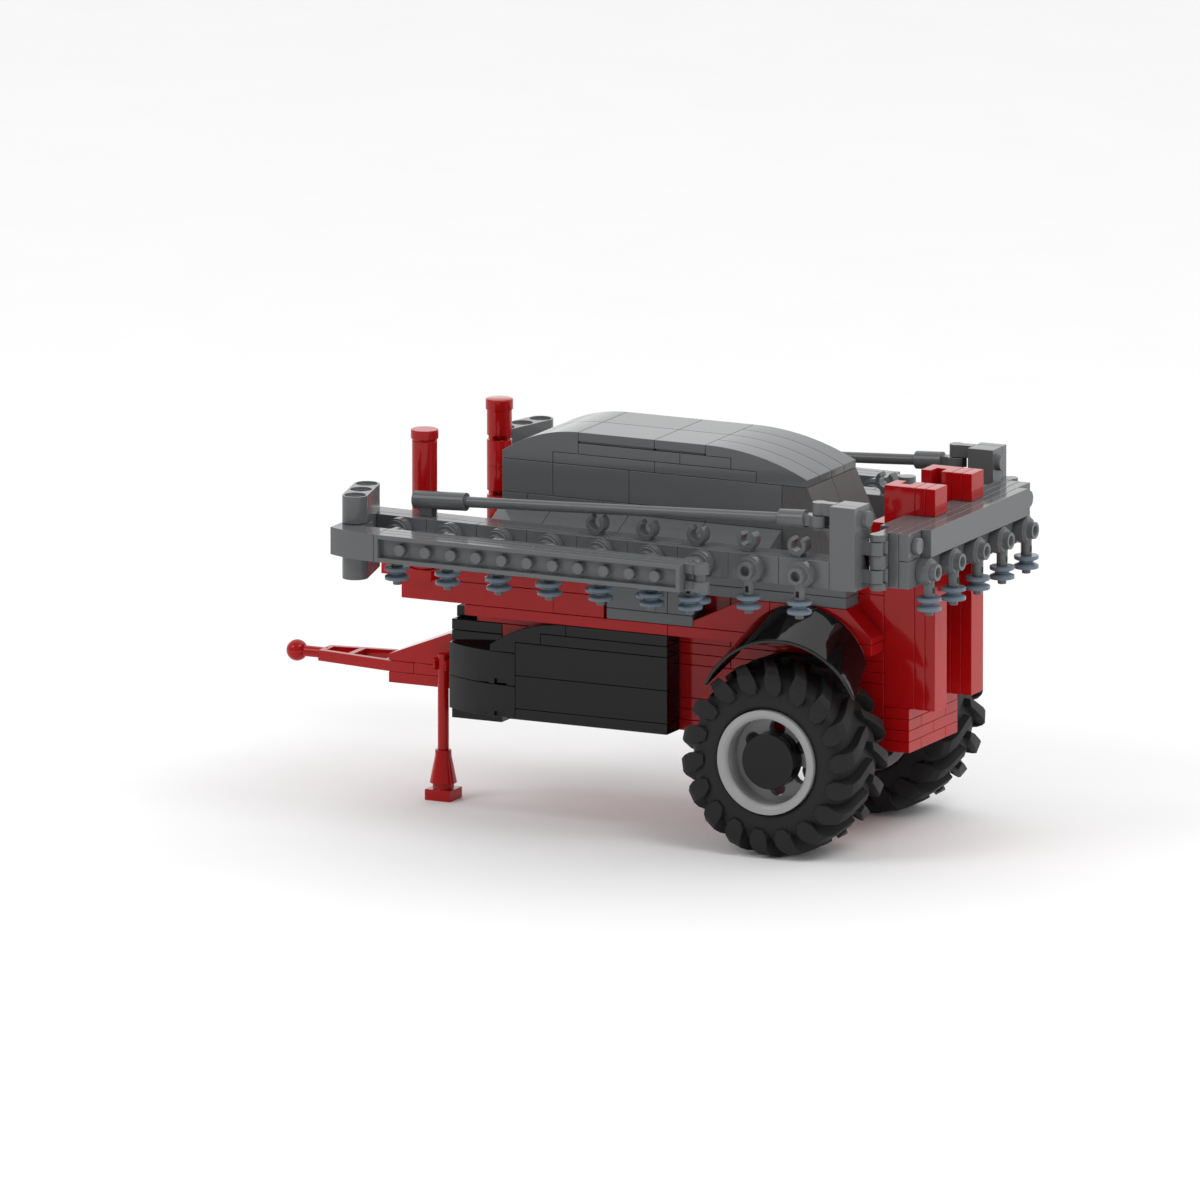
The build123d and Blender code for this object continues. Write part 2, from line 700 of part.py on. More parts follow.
def rear_beam():
    """Fixed centre boom: two rear layers, a front layer that carries the hinges, and stiffeners."""
    low, middle, top = boom_bottom, boom_bottom + boom_height, boom_bottom + 2 * boom_height
    rear, second, third, front = (beam_rear + step * plate for step in range(4))
    layers = [slab(rear, second, y0, y0 + beam_half, low, middle) for y0 in (-beam_half, 0)]
    layers += [slab(rear, second, y0, y0 + beam_half, middle, top) for y0 in (-beam_half, 0)]
    layers += [slab(second, third, -beam_half, beam_half, low, top)]
    layers += [slab(third, front, y0, y0 + beam_half, low, top) for y0 in (-beam_half, 0)]
    stiffener = slab(front, front + plate, 2 * column_width, beam_half - stud, low, top)
    peg = Cylinder(stud_radius, stud_height, rotation=(0, 90, 0))
    peg = Pos(beam_rear - stud_height / 2, beam_half - stud / 2, middle + boom_height / 2) * peg
    return layers + both_sides([stiffener, peg])


def rear_fascia():
    """Long tile on the back of the centre boom."""
    middle = boom_bottom + boom_height
    return [slab(beam_rear - plate, beam_rear, -fascia_half, fascia_half, middle, middle + boom_height)]


def rear_nozzle_places():
    return [Pos(beam_rear, step * nozzle_pitch, boom_middle) * Rot(0, 0, 180) for step in (-2, -1, 0, 1, 2)]


def clip_heights():
    """Middle heights of the two clips of a main hinge."""
    return [boom_bottom + boom_height * (step + 0.5) for step in (0, 1)]


def hinge_bar():
    """Upright hinge bar at the end of the centre boom, thicker between the clips."""
    clip_half = 1.9
    bar = upright(bar_radius, boom_bottom, boom_bottom + 2 * boom_height)
    edges = [boom_bottom]
    for middle in clip_heights():
        edges += [middle - clip_half - face_clearance, middle + clip_half + face_clearance]
    edges.append(boom_bottom + 2 * boom_height)
    for low, high in zip(edges[::2], edges[1::2]):
        knuckle = upright(knuckle_radius, low, high)
        arm = Box(plate - 2 * seam, plate - seam, high - low)
        bar += knuckle + Pos(0, -plate / 2 + seam / 2, (low + high) / 2) * arm
    return [Pos(hinge_x, hinge_y, 0) * bar]


# Folding booms. The inner boom is drawn from its hinge, straight forward along +X.

def inner_place():
    """Where the inner boom's own frame lies on the cart."""
    return Pos(hinge_x, hinge_y, 0) * Rot(0, 0, -fold_angle)


def inner_end():
    """Position of the link arm's inner pin in the inner boom's frame."""
    beam_end = post_start + post_length + module_length * module_count
    return beam_end + arm_radius + 0.3, boom_face - arm_pin_inset


def inner_boom_beam():
    """Backing beam, the row of face plates, and the rounded end that carries the link arm."""
    start = post_start + post_length
    length = module_length * module_count
    inner, middle, outer = boom_face - boom_depth, boom_face - plate, boom_face
    solids = [slab(start, start + length / 2, inner, middle, boom_bottom, boom_top)]
    for index in range(module_count):
        x0 = start + index * module_length
        solids.append(slab(x0, x0 + module_length, middle, outer, boom_bottom, boom_top))
    pin_x, pin_y = inner_end()
    tail = slab(start + length / 2, pin_x, inner, middle, boom_bottom, boom_top)
    eye_radius = arm_radius + 0.3
    low, high = boom_bottom + seam, boom_top - seam
    tail += slab(start + length, pin_x, inner, pin_y + eye_radius - 1, boom_bottom, boom_top)
    tail += Pos(pin_x, pin_y, 0) * upright(eye_radius, low, high)
    tail -= Pos(pin_x, pin_y, 0) * upright(pin_radius + running_clearance, low, high)
    return solids + [tail]


def inner_boom_post():
    """Upright post at the rear of the inner boom, with the two clips of the main hinge."""
    layers = [boom_face - step * plate for step in range(4)]
    top = boom_bottom + post_height
    solids = [slab(post_start, post_start + post_length, layers[1], layers[0], boom_bottom, top)]
    clip_height = 3.8
    hinge_block = slab(post_start, post_start + post_length, layers[3], layers[1], boom_bottom, top)
    for middle in clip_heights():
        arm = Box(post_start - bar_radius + 1, 2 * plate - 1.6, clip_height)
        arm = Pos((post_start + bar_radius) / 2, 0, middle) * arm
        hole = Pos(0, 0, middle) * Cylinder(bar_radius + running_clearance, clip_height)
        hinge_block += (arm - hole) + Pos(0, 0, middle) * snap_clip(clip_height)
    peg = Pos(post_start - stud_height / 2 + seam, (layers[1] + layers[3]) / 2, top - stud / 2)
    return solids + [hinge_block + peg * Cylinder(stud_radius, stud_height, rotation=(0, 90, 0))]


def inner_boom_clips():
    """Row of open clips on top of the rear modules, each on its own small plate."""
    thickness = 3.7
    ring = Rot(0, 90, 0) * Rot(90, 0, 0) * snap_clip(thickness)
    hole = Cylinder(bar_radius + running_clearance, thickness, rotation=(90, 0, 0))
    stem = Pos(0, 0, -clip_lift / 2) * Box(2.6, thickness, clip_lift)
    shape = ring + (stem - hole)
    start = post_start + post_length + module_length / 2 + clip_offset
    return [
        Pos(start + index * module_length, boom_face - boom_depth / 2 + 0.8, boom_top + clip_lift) * shape
        for index in range(clip_modules)
    ]


def stay_rod():
    """Rod over the inner boom, from a stalk near its front to a bar handle on the post."""
    y = boom_face - rod_inset
    front = (rod_end, y, boom_top + rod_front_height)
    rear = (rod_start, y, boom_top + rod_front_height + rod_rise)
    direction = (Vector(*rear) - Vector(*front)).normalized()
    front_sleeve = tuple(Vector(*front) + direction * 16.4)
    rear_sleeve = tuple(Vector(*rear) - direction * 8.2)
    rod = rod_between(front, rear, rod_radius)
    rod += rod_between(front, front_sleeve, rod_sleeve_radius)
    rod += rod_between(rear_sleeve, rear, rod_sleeve_radius)
    stalk = Box(4.0, 3.2, rod_front_height - 1)
    stalk = Pos(rod_end - 4, y, boom_top + (rod_front_height - 1) / 2 + seam) * stalk
    handle_x = post_start + post_length + 5.3
    clip = Pos(handle_x, y, rear[2]) * snap_clip(plate)
    arm = Box(rod_start - handle_x - bar_radius, plate, plate)
    arm = Pos((handle_x + rod_start) / 2 + 1, y, rear[2]) * arm
    hole = Pos(handle_x, y, rear[2]) * Cylinder(bar_radius + running_clearance, 2 * plate)
    bar_low, bar_high = boom_bottom + 2 * boom_height, boom_bottom + post_height
    bar = Pos(handle_x, y, 0) * upright(bar_radius, bar_low + seam, bar_high - seam)
    grip_gap = plate / 2 + face_clearance
    for low, high in ((bar_low + seam, rear[2] - grip_gap), (rear[2] + grip_gap, bar_high - seam)):
        bar += Pos(handle_x, y, 0) * upright(knuckle_radius - 0.2, low, high)
        reach = handle_x - post_start - post_length
        bracket = Box(reach - seam, plate, high - low)
        bar += Pos(handle_x - reach / 2 + seam / 2, y, (low + high) / 2) * bracket
    return [rod + stalk + ((clip + arm) - hole), bar]


def inner_nozzle_places():
    start = post_start + post_length + module_length / 2
    return [
        Pos(start + index * module_length, boom_face, boom_middle) * Rot(0, 0, 90)
        for index in range(module_count)
    ]


def link_place():
    """Where the link arm's own frame lies: its inner pin, with the arm along +X."""
    return inner_place() * Pos(*inner_end(), 0) * Rot(0, 0, 90 + arm_angle + fold_angle)


def link_arm():
    """Link arm: two three-hole arms, one over and one under the booms, a spacer and the pins."""
    low, high = boom_bottom - boom_height, boom_top + boom_height
    bar = SlotCenterToCenter(arm_pitch, 2 * arm_radius)
    recess_radius, recess_depth = pin_radius + 0.65, 0.8
    solids = []
    under, over = boom_bottom - face_clearance, boom_top + face_clearance
    for z0, z1, face_z in ((low, under, low), (over, high, high - recess_depth)):
        arm = Pos(arm_pitch / 2, 0, z0) * extrude(bar, amount=z1 - z0)
        for x in (0, arm_pitch / 2, arm_pitch):
            arm -= Pos(x, 0, 0) * upright(pin_radius + press_clearance, z0, z1)
            arm -= Pos(x, 0, 0) * upright(recess_radius, face_z, face_z + recess_depth)
        solids.append(arm)
    spacer = tube(arm_radius, pin_radius + press_clearance, under, over)
    solids.append(Pos(arm_pitch / 2, 0, 0) * spacer)
    pin = upright(pin_radius, low + recess_depth, high - recess_depth)
    solids += [Pos(x, 0, 0) * pin for x in (0, arm_pitch)]
    return solids


def outer_place():
    """Where the outer boom's own frame lies: its pin, with the boom along -X."""
    pin = link_place() * Pos(arm_pitch, 0, 0)
    return Pos(pin.position.X, pin.position.Y, 0)


def outer_boom():
    """Outer boom: two backing layers, the hollow-sided plate outside and the rounded end block."""
    length = outer_studs * stud
    front, rear = stud / 2 - end_block_length, stud / 2 - end_block_length - length
    outer, recess_face, inner = outer_face, outer_face - plate, outer_face - boom_depth
    backing = [slab(rear, front, inner, inner + plate, boom_bottom, boom_top)]
    for x0 in (rear, rear + length / 2):
        backing.append(slab(x0, x0 + length / 2, inner + plate, recess_face, boom_bottom, boom_top))
    wall, floor = 1.3, 1.0
    channel = slab(rear, front, recess_face, outer, boom_bottom, boom_top)
    hollow = Box(length - 2 * wall, plate - floor, boom_height - 2 * wall)
    channel -= Pos((rear + front) / 2, outer - (plate - floor) / 2, boom_middle) * hollow
    for index in range(1, outer_studs):
        peg = Cylinder(bar_radius, plate - floor, rotation=(90, 0, 0))
        channel += Pos(rear + index * stud, outer - seam - (plate - floor) / 2, boom_middle) * peg
    block = end_block(front + seam, inner + seam)
    block -= upright(pin_radius + running_clearance, boom_bottom, boom_top)
    return backing + [channel, block, outer_handle(rear)]


def end_block(rear, inner):
    """Block round the outer boom's pin, with a curved outer side. The pin is at the origin."""
    nose, drop = arm_radius, 4.2
    outer = outer_face - seam
    edges = [
        ThreePointArc((rear, outer), ((rear + nose) / 2 + 1, outer - drop / 3), (nose, outer - drop)),
        Line((nose, outer - drop), (nose, 0)),
        ThreePointArc((nose, 0), (nose / sqrt(2), -nose / sqrt(2)), (0, -nose)),
        Line((0, -nose), (-nose, -nose)),
        Line((-nose, -nose), (-nose, inner)),
        Line((-nose, inner), (rear, inner)),
        Line((rear, inner), (rear, outer)),
    ]
    prism = extrude(Face(Wire(edges)), amount=boom_height - 2 * seam, dir=(0, 0, 1))
    return Pos(0, 0, boom_bottom + seam) * prism


def outer_handle(rear):
    """Handle at the free end of the outer boom: two ears and an upright bar."""
    ear = 2.9
    y = outer_face - boom_depth / 2
    bar_x = rear - 4.4
    handle = upright(bar_radius, boom_bottom + seam, boom_top - seam)
    for z0 in (boom_bottom + seam, boom_top - seam - ear):
        handle += upright(bar_radius + 0.9, z0, z0 + ear)
        reach = rear - seam - bar_x
        handle += Pos(reach / 2, 0, z0 + ear / 2) * Box(reach, 2 * bar_radius, ear)
    return Pos(bar_x, y, 0) * handle


def outer_nozzle_places():
    steps = [outer_nozzle_start + index * nozzle_pitch for index in range(outer_nozzle_count)]
    steps.append(steps[-1] + last_nozzle_step)
    return [Pos(-step, outer_face - boom_depth, boom_middle) * Rot(0, 0, -90) for step in steps]


def boom_parts():
    """All nodes of the left pair of folding booms, in place."""
    nozzles, pulleys = place_nozzles(inner_nozzle_places())
    inner = {
        "inner_boom_beam": inner_boom_beam(), "inner_boom_post": inner_boom_post(),
        "inner_boom_clips": inner_boom_clips(), "stay_rod": stay_rod(),
        "inner_nozzles": nozzles, "inner_pulleys": pulleys,
    }
    nozzles, pulleys = place_nozzles(outer_nozzle_places())
    outer = {"outer_boom": outer_boom(), "outer_nozzles": nozzles, "outer_pulleys": pulleys}
    parts = {name: [inner_place() * solid for solid in solids] for name, solids in inner.items()}
    parts["link_arm"] = [link_place() * solid for solid in link_arm()]
    parts.update({name: [outer_place() * solid for solid in solids] for name, solids in outer.items()})
    return parts


def all_nodes():
    """Every node of the cart by name, in the building frame."""
    rear_nozzles, rear_pulleys = place_nozzles(rear_nozzle_places())
    nodes = {
        "lower_body": lower_body(), "chassis_core": chassis_core(), "wheel_axle": wheel_axle(),
        "platform_plates": platform_plates(), "side_panels": side_panels(), "deck_bricks": deck_bricks(),
        "arch_bricks": arch_bricks(), "tower_core": tower_core(), "columns": columns(),
        "hopper_skirts": hopper_skirts(), "hopper_walls": hopper_walls(), "hopper_steps": hopper_steps(),
        "hopper_tiles": hopper_tiles(), "hopper_curves": hopper_curves(),
        "hopper_rear_slopes": hopper_rear_slopes(),
        "tank_bricks": tank_bricks(), "tank_corners": tank_corners(), "front_plates": front_plates(),
        "drawbar_bricks": drawbar_bricks(), "drawbar_frame": drawbar_frame(), "jack_clip": jack_clip(),
        "jack_leg": jack_leg(), "jack_bar": jack_bar(), "rear_beam": rear_beam(),
        "rear_fascia": rear_fascia(), "rear_nozzles": rear_nozzles, "rear_pulleys": rear_pulleys,
    }
    left = {"mudguard": [mudguard()], "mast": mast(), "hinge_bar": hinge_bar()}
    left.update({**wheel_parts(), **boom_parts()})
    for name, solids in left.items():
        nodes[name + "_left"] = solids
        nodes[name + "_right"] = [mirror(solid, Plane.XZ) for solid in solids]
    return nodes


os.makedirs("parts", exist_ok=True)
for name, solids in all_nodes().items():
    pieces = [solid for shape in solids for solid in shape.solids()]
    group = Compound(children=[Pos(centre_shift, 0, 0) * solid for solid in pieces])
    export_step(group, f"parts/{name}.step")
hinge = inner_place().position
inner_pin = link_place().position
outer_pin = outer_place().position
for label, point in (("main hinge", hinge), ("inner pin", inner_pin), ("outer pin", outer_pin)):
    print(label, round(point.X + centre_shift, 3), round(point.Y, 3))
print("axle", round(axle_x + centre_shift, 3), "jack", round(jack_x + centre_shift, 3), end=" ")
print("shift", round(centre_shift, 3))
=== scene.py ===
import json
import math

import bmesh
import bpy
from bpy.props import FloatProperty, FloatVectorProperty, IntProperty, PointerProperty
from mathutils import Matrix, Vector


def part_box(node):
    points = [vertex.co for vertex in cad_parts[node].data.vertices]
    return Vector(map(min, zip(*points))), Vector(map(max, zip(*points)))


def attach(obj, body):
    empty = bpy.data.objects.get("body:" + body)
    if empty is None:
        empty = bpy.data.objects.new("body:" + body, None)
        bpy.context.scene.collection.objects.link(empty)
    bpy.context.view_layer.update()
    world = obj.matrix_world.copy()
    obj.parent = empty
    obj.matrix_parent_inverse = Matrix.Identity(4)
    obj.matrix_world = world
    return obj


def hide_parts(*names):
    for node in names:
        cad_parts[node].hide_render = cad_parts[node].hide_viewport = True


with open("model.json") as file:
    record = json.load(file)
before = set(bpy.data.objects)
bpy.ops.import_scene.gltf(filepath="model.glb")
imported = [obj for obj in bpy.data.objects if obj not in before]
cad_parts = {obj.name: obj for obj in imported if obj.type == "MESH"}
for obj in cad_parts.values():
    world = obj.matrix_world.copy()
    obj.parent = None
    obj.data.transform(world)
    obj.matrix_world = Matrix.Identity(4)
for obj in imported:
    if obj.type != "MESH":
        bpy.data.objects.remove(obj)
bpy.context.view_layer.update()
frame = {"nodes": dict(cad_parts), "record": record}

bl_info = {
    "name": "Toy Grain Cart",
    "version": (1, 0, 0),
    "blender": (4, 5, 0),
    "location": "View3D > Sidebar > Grain Cart",
    "description": "Builds the finished looks of a brick-built toy grain cart around its packed model",
    "category": "Object",
}

MM = 0.001
SIDES = ("left", "right")

# Edge radii in mm of the pieces whose edges aren't those of a plain brick.
FINE_EDGE = 0.12
SLIM_EDGE = 0.14
NOZZLE_EDGE = 0.1
WHEEL_EDGE = 0.2
ROUND_EDGE = 0.25

ROUND_STEPS = 96
materials = {}


# Node trees

class Value:
    """A node's socket that takes part in arithmetic."""

    def __init__(self, graph, socket):
        self.graph = graph
        self.socket = socket

    def _math(self, operation, first, second):
        return self.graph.node("ShaderNodeMath", {"operation": operation}, {0: first, 1: second})

    def __add__(self, other):
        return self._math("ADD", self, other)

    def __radd__(self, other):
        return self._math("ADD", other, self)

    def __sub__(self, other):
        return self._math("SUBTRACT", self, other)

    def __rsub__(self, other):
        return self._math("SUBTRACT", other, self)

    def __mul__(self, other):
        return self._math("MULTIPLY", self, other)

    def __rmul__(self, other):
        return self._math("MULTIPLY", other, self)

    def __truediv__(self, other):
        return self._math("DIVIDE", self, other)

    def __rtruediv__(self, other):
        return self._math("DIVIDE", other, self)


class Graph:
    """Node tree with one way of adding nodes."""

    def __init__(self, tree):
        self.tree = tree

    def node(self, kind, settings=None, inputs=None, output=0):
        made = self.tree.nodes.new(kind)
        for key, value in (settings or {}).items():
            if key == "stops":
                set_stops(made.color_ramp, value)
            else:
                setattr(made, key, value)
        for key, value in (inputs or {}).items():
            if isinstance(value, Value):
                self.tree.links.new(value.socket, made.inputs[key])
            else:
                made.inputs[key].default_value = value
        return Value(self, made.outputs[output]) if len(made.outputs) else None


class Shader(Graph):
    """Material's node tree, with the nodes that its finishes share."""

    def __init__(self, name):
        self.material = bpy.data.materials.new(name)
        self.material.use_nodes = True
        super().__init__(self.material.node_tree)
        self.tree.nodes.clear()

    def place(self):
        return self.node("ShaderNodeTexCoord", output="Object")

    def noise(self, scale, detail=2.0, vector=None, roughness=0.5):
        inputs = {"Scale": scale, "Detail": detail, "Roughness": roughness}
        inputs["Vector"] = vector or self.place()
        return self.node("ShaderNodeTexNoise", inputs=inputs)

    def ramp(self, value, stops):
        return self.node("ShaderNodeValToRGB", {"stops": stops}, {0: value})

    def mix(self, factor, first, second):
        inputs = {0: factor, 6: first, 7: second}
        return self.node("ShaderNodeMix", {"data_type": "RGBA"}, inputs, output=2)

    def bump(self, height, strength, distance):
        inputs = {"Height": height, "Strength": strength, "Distance": distance}
        return self.node("ShaderNodeBump", inputs=inputs)

    def finish(self, inputs):
        surface = self.node("ShaderNodeBsdfPrincipled", inputs=inputs)
        self.node("ShaderNodeOutputMaterial", inputs={"Surface": surface})
        return self.material


def set_stops(ramp, stops):
    """Stops of a colour ramp, as (position, colour) pairs."""
    while len(ramp.elements) > 1:
        ramp.elements.remove(ramp.elements[-1])
    for index, (position, colour) in enumerate(stops):
        element = ramp.elements[0] if index == 0 else ramp.elements.new(position)
        element.position = position
        element.color = (*colour, 1.0)


def toned(colour, factor):
    return tuple(min(1.0, c * factor) for c in colour) + (1.0,)


def moulded_plastic(name, colour, roughness, clouding=0.05, coat=0.0, peel_strength=0.03):
    """Glossy moulded plastic: flow clouding, a faint orange peel, and fine handling scuffs."""
    shader = Shader(name)
    place = shader.place()
    cloud = shader.noise(55.0, 3.0, place)
    base = shader.mix(cloud, toned(colour, 1 - clouding), toned(colour, 1 + clouding))
    stretched = shader.node("ShaderNodeMapping", inputs={"Vector": place, "Scale": (1.0, 0.35, 1.6)})
    scuffs = shader.noise(700.0, 4.0, stretched, 0.7)
    scuffed = shader.ramp(scuffs, [(0.52, (0, 0, 0)), (0.78, (1, 1, 1))])
    peel = shader.noise(420.0, 2.0, place)
    pores = shader.noise(2600.0, 1.0, place)
    height = peel * 0.8 + pores * 0.2
    return shader.finish({
        "Base Color": base,
        "Roughness": roughness + scuffed * 0.06 + (cloud - 0.5) * 0.03,
        "Normal": shader.bump(height, peel_strength, 0.02 * MM),
        "IOR": 1.34,
        "Coat Weight": coat,
        "Coat Roughness": 0.05,
    })


def grained_plastic(name, colour, roughness):
    """Plastic with the coarse sandy grain of a roof slope."""
    shader = Shader(name)
    place = shader.place()
    grain = shader.noise(1500.0, 3.0, place, 0.65)
    patches = shader.noise(260.0, 2.0, place)
    speckle = shader.ramp(grain, [(0.35, (0, 0, 0)), (0.65, (1, 1, 1))])
    base = shader.mix(speckle * 0.6 + patches * 0.4, toned(colour, 0.80), toned(colour, 1.22))
    return shader.finish({
        "Base Color": base,
        "Roughness": roughness + speckle * 0.12,
        "Normal": shader.bump(grain * 0.8 + patches * 0.2, 0.55, 0.12 * MM),
        "IOR": 1.5,
    })


def rubber(name, colour):
    """Matt tyre rubber with a fine mould grain and paler dusty patches."""
    shader = Shader(name)
    place = shader.place()
    grain = shader.noise(1900.0, 3.0, place, 0.6)
    dust = shader.noise(150.0, 4.0, place, 0.6)
    dusty = shader.ramp(dust, [(0.42, (0, 0, 0)), (0.75, (1, 1, 1))])
    base = shader.mix(dusty * 0.5, toned(colour, 0.9), toned(colour, 1.5))
    return shader.finish({
        "Base Color": base,
        "Roughness": 0.58 + dusty * 0.12 + (grain - 0.5) * 0.1,
        "Normal": shader.bump(grain, 0.12, 0.05 * MM),
        "IOR": 1.4,
    })


def make_materials(colours):
    """Every finish of the cart, by its slot's name. The mudguards' own finish is black_gloss."""
    gloss = colours.gloss_roughness
    return {
        "red_bricks": moulded_plastic("deep_red_plastic", colours.red, gloss),
        "grey_bricks": moulded_plastic("dark_grey_plastic", colours.grey, gloss + 0.03),
        "black_bricks": moulded_plastic("black_plastic", colours.black, gloss, clouding=0.1),
        "black_gloss": moulded_plastic(
            "black_gloss_plastic", colours.black, gloss * 0.5, clouding=0.1, coat=0.35, peel_strength=0.015
        ),
        "nozzle_rings": moulded_plastic("blue_grey_plastic", colours.ring, gloss + 0.12),
        "rims": moulded_plastic("light_grey_plastic", colours.rim, gloss + 0.08),
        "axle": moulded_plastic("axle_plastic", colours.rim, gloss + 0.08),
        "rough_grey_bricks": grained_plastic("sandy_slope_plastic", colours.slope, 0.62),
        "tyres": rubber("tyre_rubber", colours.tyre),
    }


def material(name):
    """Finish by name. The cart's finishes are made when the first one is asked for."""
    if not materials:
        materials.update(make_materials(bpy.context.scene.cart_finish))
    return materials[name]


# Meshes

def linked(name, mesh):
    piece = bpy.data.objects.new(name, mesh)
    bpy.context.scene.collection.objects.link(piece)
    return piece


def finished_mesh(work, name):
    """Mesh of what was made in a bmesh, which is freed."""
    mesh = bpy.data.meshes.new(name)
    work.to_mesh(mesh)
    work.free()
    return mesh


def shade_smooth(piece):
    for polygon in piece.data.polygons:
        polygon.use_smooth = True


def evaluated_mesh(piece):
    """Give a piece the plain mesh that its modifiers make, and take the modifiers off."""
    graph = bpy.context.evaluated_depsgraph_get()
    mesh = bpy.data.meshes.new_from_object(
        piece.evaluated_get(graph), preserve_all_data_layers=True, depsgraph=graph
    )
    piece.modifiers.clear()
    piece.data = mesh
    mesh.name = piece.name
    return piece


def merged_copy(node):
    """Mesh of a CAD node with its triangles joined into whole faces."""
    work = bmesh.new()
    work.from_mesh(frame["nodes"][node].data)
    bmesh.ops.remove_doubles(work, verts=work.verts, dist=0.001 * MM)
    bmesh.ops.dissolve_degenerate(work, edges=work.edges, dist=0.001 * MM)
    bmesh.ops.dissolve_limit(
        work, angle_limit=math.radians(0.5), verts=work.verts, edges=work.edges, delimit={"NORMAL"}
    )
    return finished_mesh(work, node)


def keep_faces_flat(piece):
    """Shade a piece smooth, with the large faces flat up to their rounded edges."""
    shade_smooth(piece)
    weights = piece.modifiers.new("flat_faces", "WEIGHTED_NORMAL")
    weights.mode = "FACE_AREA"
    weights.weight = 60
    weights.keep_sharp = False
    return evaluated_mesh(piece)


def soften(piece, width, segments=2, angle=32.0):
    """Round off the edges of a piece as a mould does. Width is in mm, angle in degrees."""
    bevel = piece.modifiers.new("edges", "BEVEL")
    bevel.width = width * MM
    bevel.segments = segments
    bevel.limit_method = "ANGLE"
    bevel.angle_limit = math.radians(angle)
    bevel.use_clamp_overlap = False
    return keep_faces_flat(piece)


def settle(piece, body, slot_name, nodes, finish=None):
    """Give a finished piece its material and its body, and hide the nodes it stands for."""
    piece.data.materials.clear()
    piece.data.materials.append(material(finish or slot_name))
    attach(piece, body)
    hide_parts(*nodes)


def node_slot(node):
    for row in frame["record"]["subparts"]:
        if row["node"] == node:
            return row["material_slot"]
    raise ValueError(f"no slot for {node}")


def node_body(node):
    for body, members in frame["record"]["behaviour"]["bodies"].items():
        if node in members:
            return body
    raise ValueError(f"no body for {node}")


def rounded_copy(node, width, segments=2):
    return soften(linked(node + "_finished", merged_copy(node)), width, segments)


def finish_nodes(nodes, width, segments=2, finish=None):
    """Rounded copies of CAD nodes, standing in their places."""
    for node in nodes:
        piece = rounded_copy(node, width, segments)
        settle(piece, node_body(node), node_slot(node), [node], finish)


def both(names):
    return [f"{name}_{side}" for side in SIDES for name in names]


def shaft(name, profile, centre, radius_at):
    """Solid turned about an upright axis, from (radius, height) points in mm."""
    piece = linked(name, lathe(name, profile, "Z", radius_at))
    piece.data.transform(Matrix.Translation((centre.x, centre.y, 0)))
    return piece


def repeat_tree():
    """Node tree that repeats a shape round the Y axis, moves the ring and gives it a material."""
    tree = bpy.data.node_groups.new("repeat_round_axle", "GeometryNodeTree")
    inputs = {
        "Geometry": "Geometry", "Count": "Int", "Start Angle": "Float",
        "Centre": "Vector", "Material": "Material",
    }
    for name, kind in inputs.items():
        tree.interface.new_socket(name, in_out="INPUT", socket_type=f"NodeSocket{kind}")
    tree.interface.new_socket("Geometry", in_out="OUTPUT", socket_type="NodeSocketGeometry")
    graph = Graph(tree)
    given = {name: graph.node("NodeGroupInput", output=name) for name in inputs}
    line = {"Count": given["Count"], "Offset": (0, 0, 0)}
    points = graph.node("GeometryNodeMeshLine", {"mode": "OFFSET"}, line)
    share = graph.node("GeometryNodeInputIndex") / given["Count"]
    turn = graph.node("ShaderNodeCombineXYZ", inputs={"Y": share * (2 * math.pi) + given["Start Angle"]})
    rotation = graph.node("FunctionNodeEulerToRotation", inputs={0: turn})
    placing = {"Points": points, "Instance": given["Geometry"], "Rotation": rotation}
    copies = graph.node("GeometryNodeInstanceOnPoints", inputs=placing)
    real = graph.node("GeometryNodeRealizeInstances", inputs={0: copies})
    moved = graph.node("GeometryNodeTransform", inputs={"Geometry": real, "Translation": given["Centre"]})
    colouring = {"Geometry": moved, "Material": given["Material"]}
    graph.node("NodeGroupOutput", inputs={0: graph.node("GeometryNodeSetMaterial", inputs=colouring)})
    return tree


def repeat_round(piece, count, start, centre, finish):
    """Repeat a piece that is drawn round the Y axis, and move the ring to its wheel."""
    tree = bpy.data.node_groups.get("repeat_round_axle") or repeat_tree()
    modifier = piece.modifiers.new("ring", "NODES")
    modifier.node_group = tree
    values = {"Count": count, "Start Angle": start, "Centre": centre, "Material": finish}
    for item in tree.interface.items_tree:
        if item.in_out == "INPUT" and item.name in values:
            modifier[item.identifier] = values[item.name]
    return evaluated_mesh(piece)


def bridge(work, near, far):
    """Band of faces between two loops of vertices."""
    for index in range(len(near)):
        after = (index + 1) % len(near)
        work.faces.new((near[index], near[after], far[after], far[index]))


def lathe(name, profile, axis="Y", radius_at=None):
    """Closed ring or solid turned about an axis, from (radius, offset) points in mm."""
    work = bmesh.new()
    rings = []
    for step in range(ROUND_STEPS):
        angle = 2 * math.pi * step / ROUND_STEPS
        ring = []
        for radius, offset in profile:
            r = (radius_at(radius, offset, step) if radius_at else radius) * MM
            x, z = r * math.cos(angle), r * math.sin(angle)
            spot = (x, offset * MM, z) if axis == "Y" else (x, z, offset * MM)
            ring.append(work.verts.new(spot))
        rings.append(ring)
    for near, far in zip(rings, rings[1:] + rings[:1]):
        bridge(work, near, far)
    bmesh.ops.remove_doubles(work, verts=work.verts, dist=0.0005 * MM)
    bmesh.ops.recalc_face_normals(work, faces=work.faces)
    return finished_mesh(work, name)


def joined(name, pieces):
    """One piece from several, with all their faces."""
    work = bmesh.new()
    for piece in pieces:
        work.from_mesh(piece.data)
        bpy.data.objects.remove(piece)
    return linked(name, finished_mesh(work, name))


# Sizes and colours

